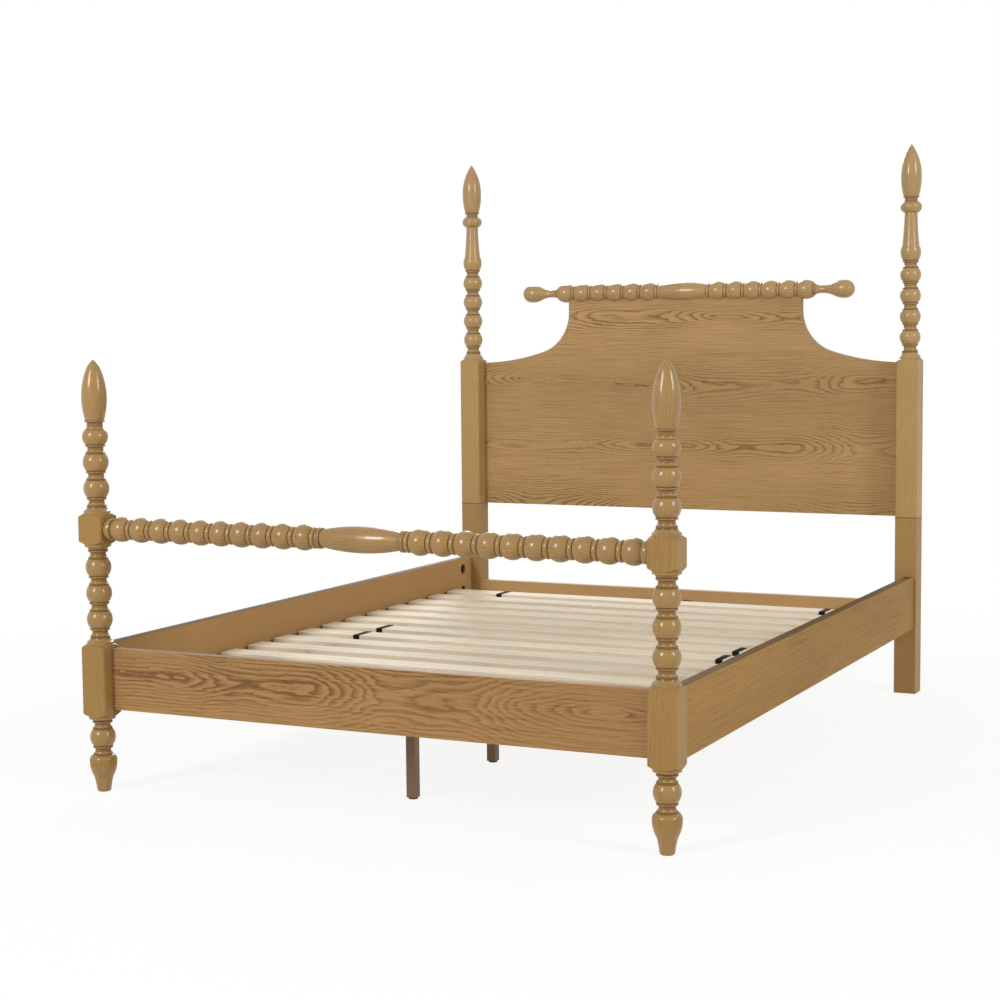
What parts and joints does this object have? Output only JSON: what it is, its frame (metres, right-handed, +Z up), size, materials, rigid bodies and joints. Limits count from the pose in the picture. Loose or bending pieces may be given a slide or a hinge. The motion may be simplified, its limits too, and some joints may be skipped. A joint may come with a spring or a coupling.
{
  "type": "spindle bed",
  "caption": "Wooden bed frame with beaded spindle posts, a shaped headboard panel under a beaded rail, a low foot rail, side rails, slats and a steel-legged centre beam.",
  "frame": {"origin": "on the floor, in the middle of the bed's outline", "axes": "+Z up, +Y from the foot towards the headboard, +X to the right as seen from the foot"},
  "size_m": [1.614, 2.25, 1.741],
  "materials": {
    "oak_turned": "satin-gloss honey lacquer on turned wood",
    "oak_board": "satin honey lacquer, open oak grain",
    "oak_leg": "satin honey lacquer",
    "oak_rail": "satin honey lacquer",
    "plain_wood": "plain brown stained softwood",
    "pine": "planed, uncoated",
    "webbing": "woven black band",
    "black_steel": "black finish",
    "brown_steel": "dark brown powder coat",
    "zinc_steel": "zinc plated",
    "black_plastic": "moulded",
    "brass": "turned",
    "beech_dowel": "grooved dowel"
  },
  "bodies": {
    "frame": {"foot_post_left": "oak_turned", "head_post_left": "oak_turned", "head_leg_left": "oak_leg", "side_rail_left": "oak_rail", "cleat_left": "plain_wood", "foot_post_right": "oak_turned", "head_post_right": "oak_turned", "head_leg_right": "oak_leg", "side_rail_right": "oak_rail", "cleat_right": "plain_wood", "foot_spindle_rail": "oak_turned", "headboard_spindle": "oak_turned", "foot_rail": "oak_board", "headboard_panel": "oak_board", "head_cross_rail": "plain_wood", "centre_beam": "plain_wood", "slat_01": "pine", "slat_02": "pine", "slat_03": "pine", "slat_04": "pine", "slat_05": "pine", "slat_06": "pine", "slat_07": "pine", "slat_08": "pine", "slat_09": "pine", "slat_10": "pine", "slat_11": "pine", "slat_12": "pine", "slat_13": "pine", "slat_14": "pine", "beam_bracket_foot": "black_steel", "strap_foot_left": "webbing", "strap_foot_right": "webbing", "beam_bracket_head": "black_steel", "strap_head_left": "webbing", "strap_head_right": "webbing", "centre_leg_1": "brown_steel", "centre_leg_2": "brown_steel", "centre_leg_3": "brown_steel", "centre_leg_4": "brown_steel", "leg_plugs": "black_plastic", "rail_bolts": "black_steel", "rail_bolt_washers": "black_steel", "rail_bolt_nuts": "black_steel", "slat_screws": "black_steel", "bracket_screws": "black_steel", "centre_leg_screws": "black_steel", "cleat_screws": "zinc_steel", "panel_screws": "zinc_steel", "strap_staples": "zinc_steel", "threaded_inserts": "brass", "head_post_dowels": "beech_dowel", "headboard_spindle_dowels": "beech_dowel", "cross_rail_dowels": "beech_dowel"},
    "foot_1": {"levelling_foot_1": "black_plastic"},
    "foot_2": {"levelling_foot_2": "black_plastic"},
    "foot_3": {"levelling_foot_3": "black_plastic"},
    "foot_4": {"levelling_foot_4": "black_plastic"}
  },
  "joints": [
    {"name": "levelling_1", "type": "slide", "parent": "frame", "child": "foot_1", "axis": [0, 0, -1], "range_m": [0, 0.01]},
    {"name": "levelling_2", "type": "slide", "parent": "frame", "child": "foot_2", "axis": [0, 0, -1], "range_m": [0, 0.01]},
    {"name": "levelling_3", "type": "slide", "parent": "frame", "child": "foot_3", "axis": [0, 0, -1], "range_m": [0, 0.01]},
    {"name": "levelling_4", "type": "slide", "parent": "frame", "child": "foot_4", "axis": [0, 0, -1], "range_m": [0, 0.01]}
  ]
}
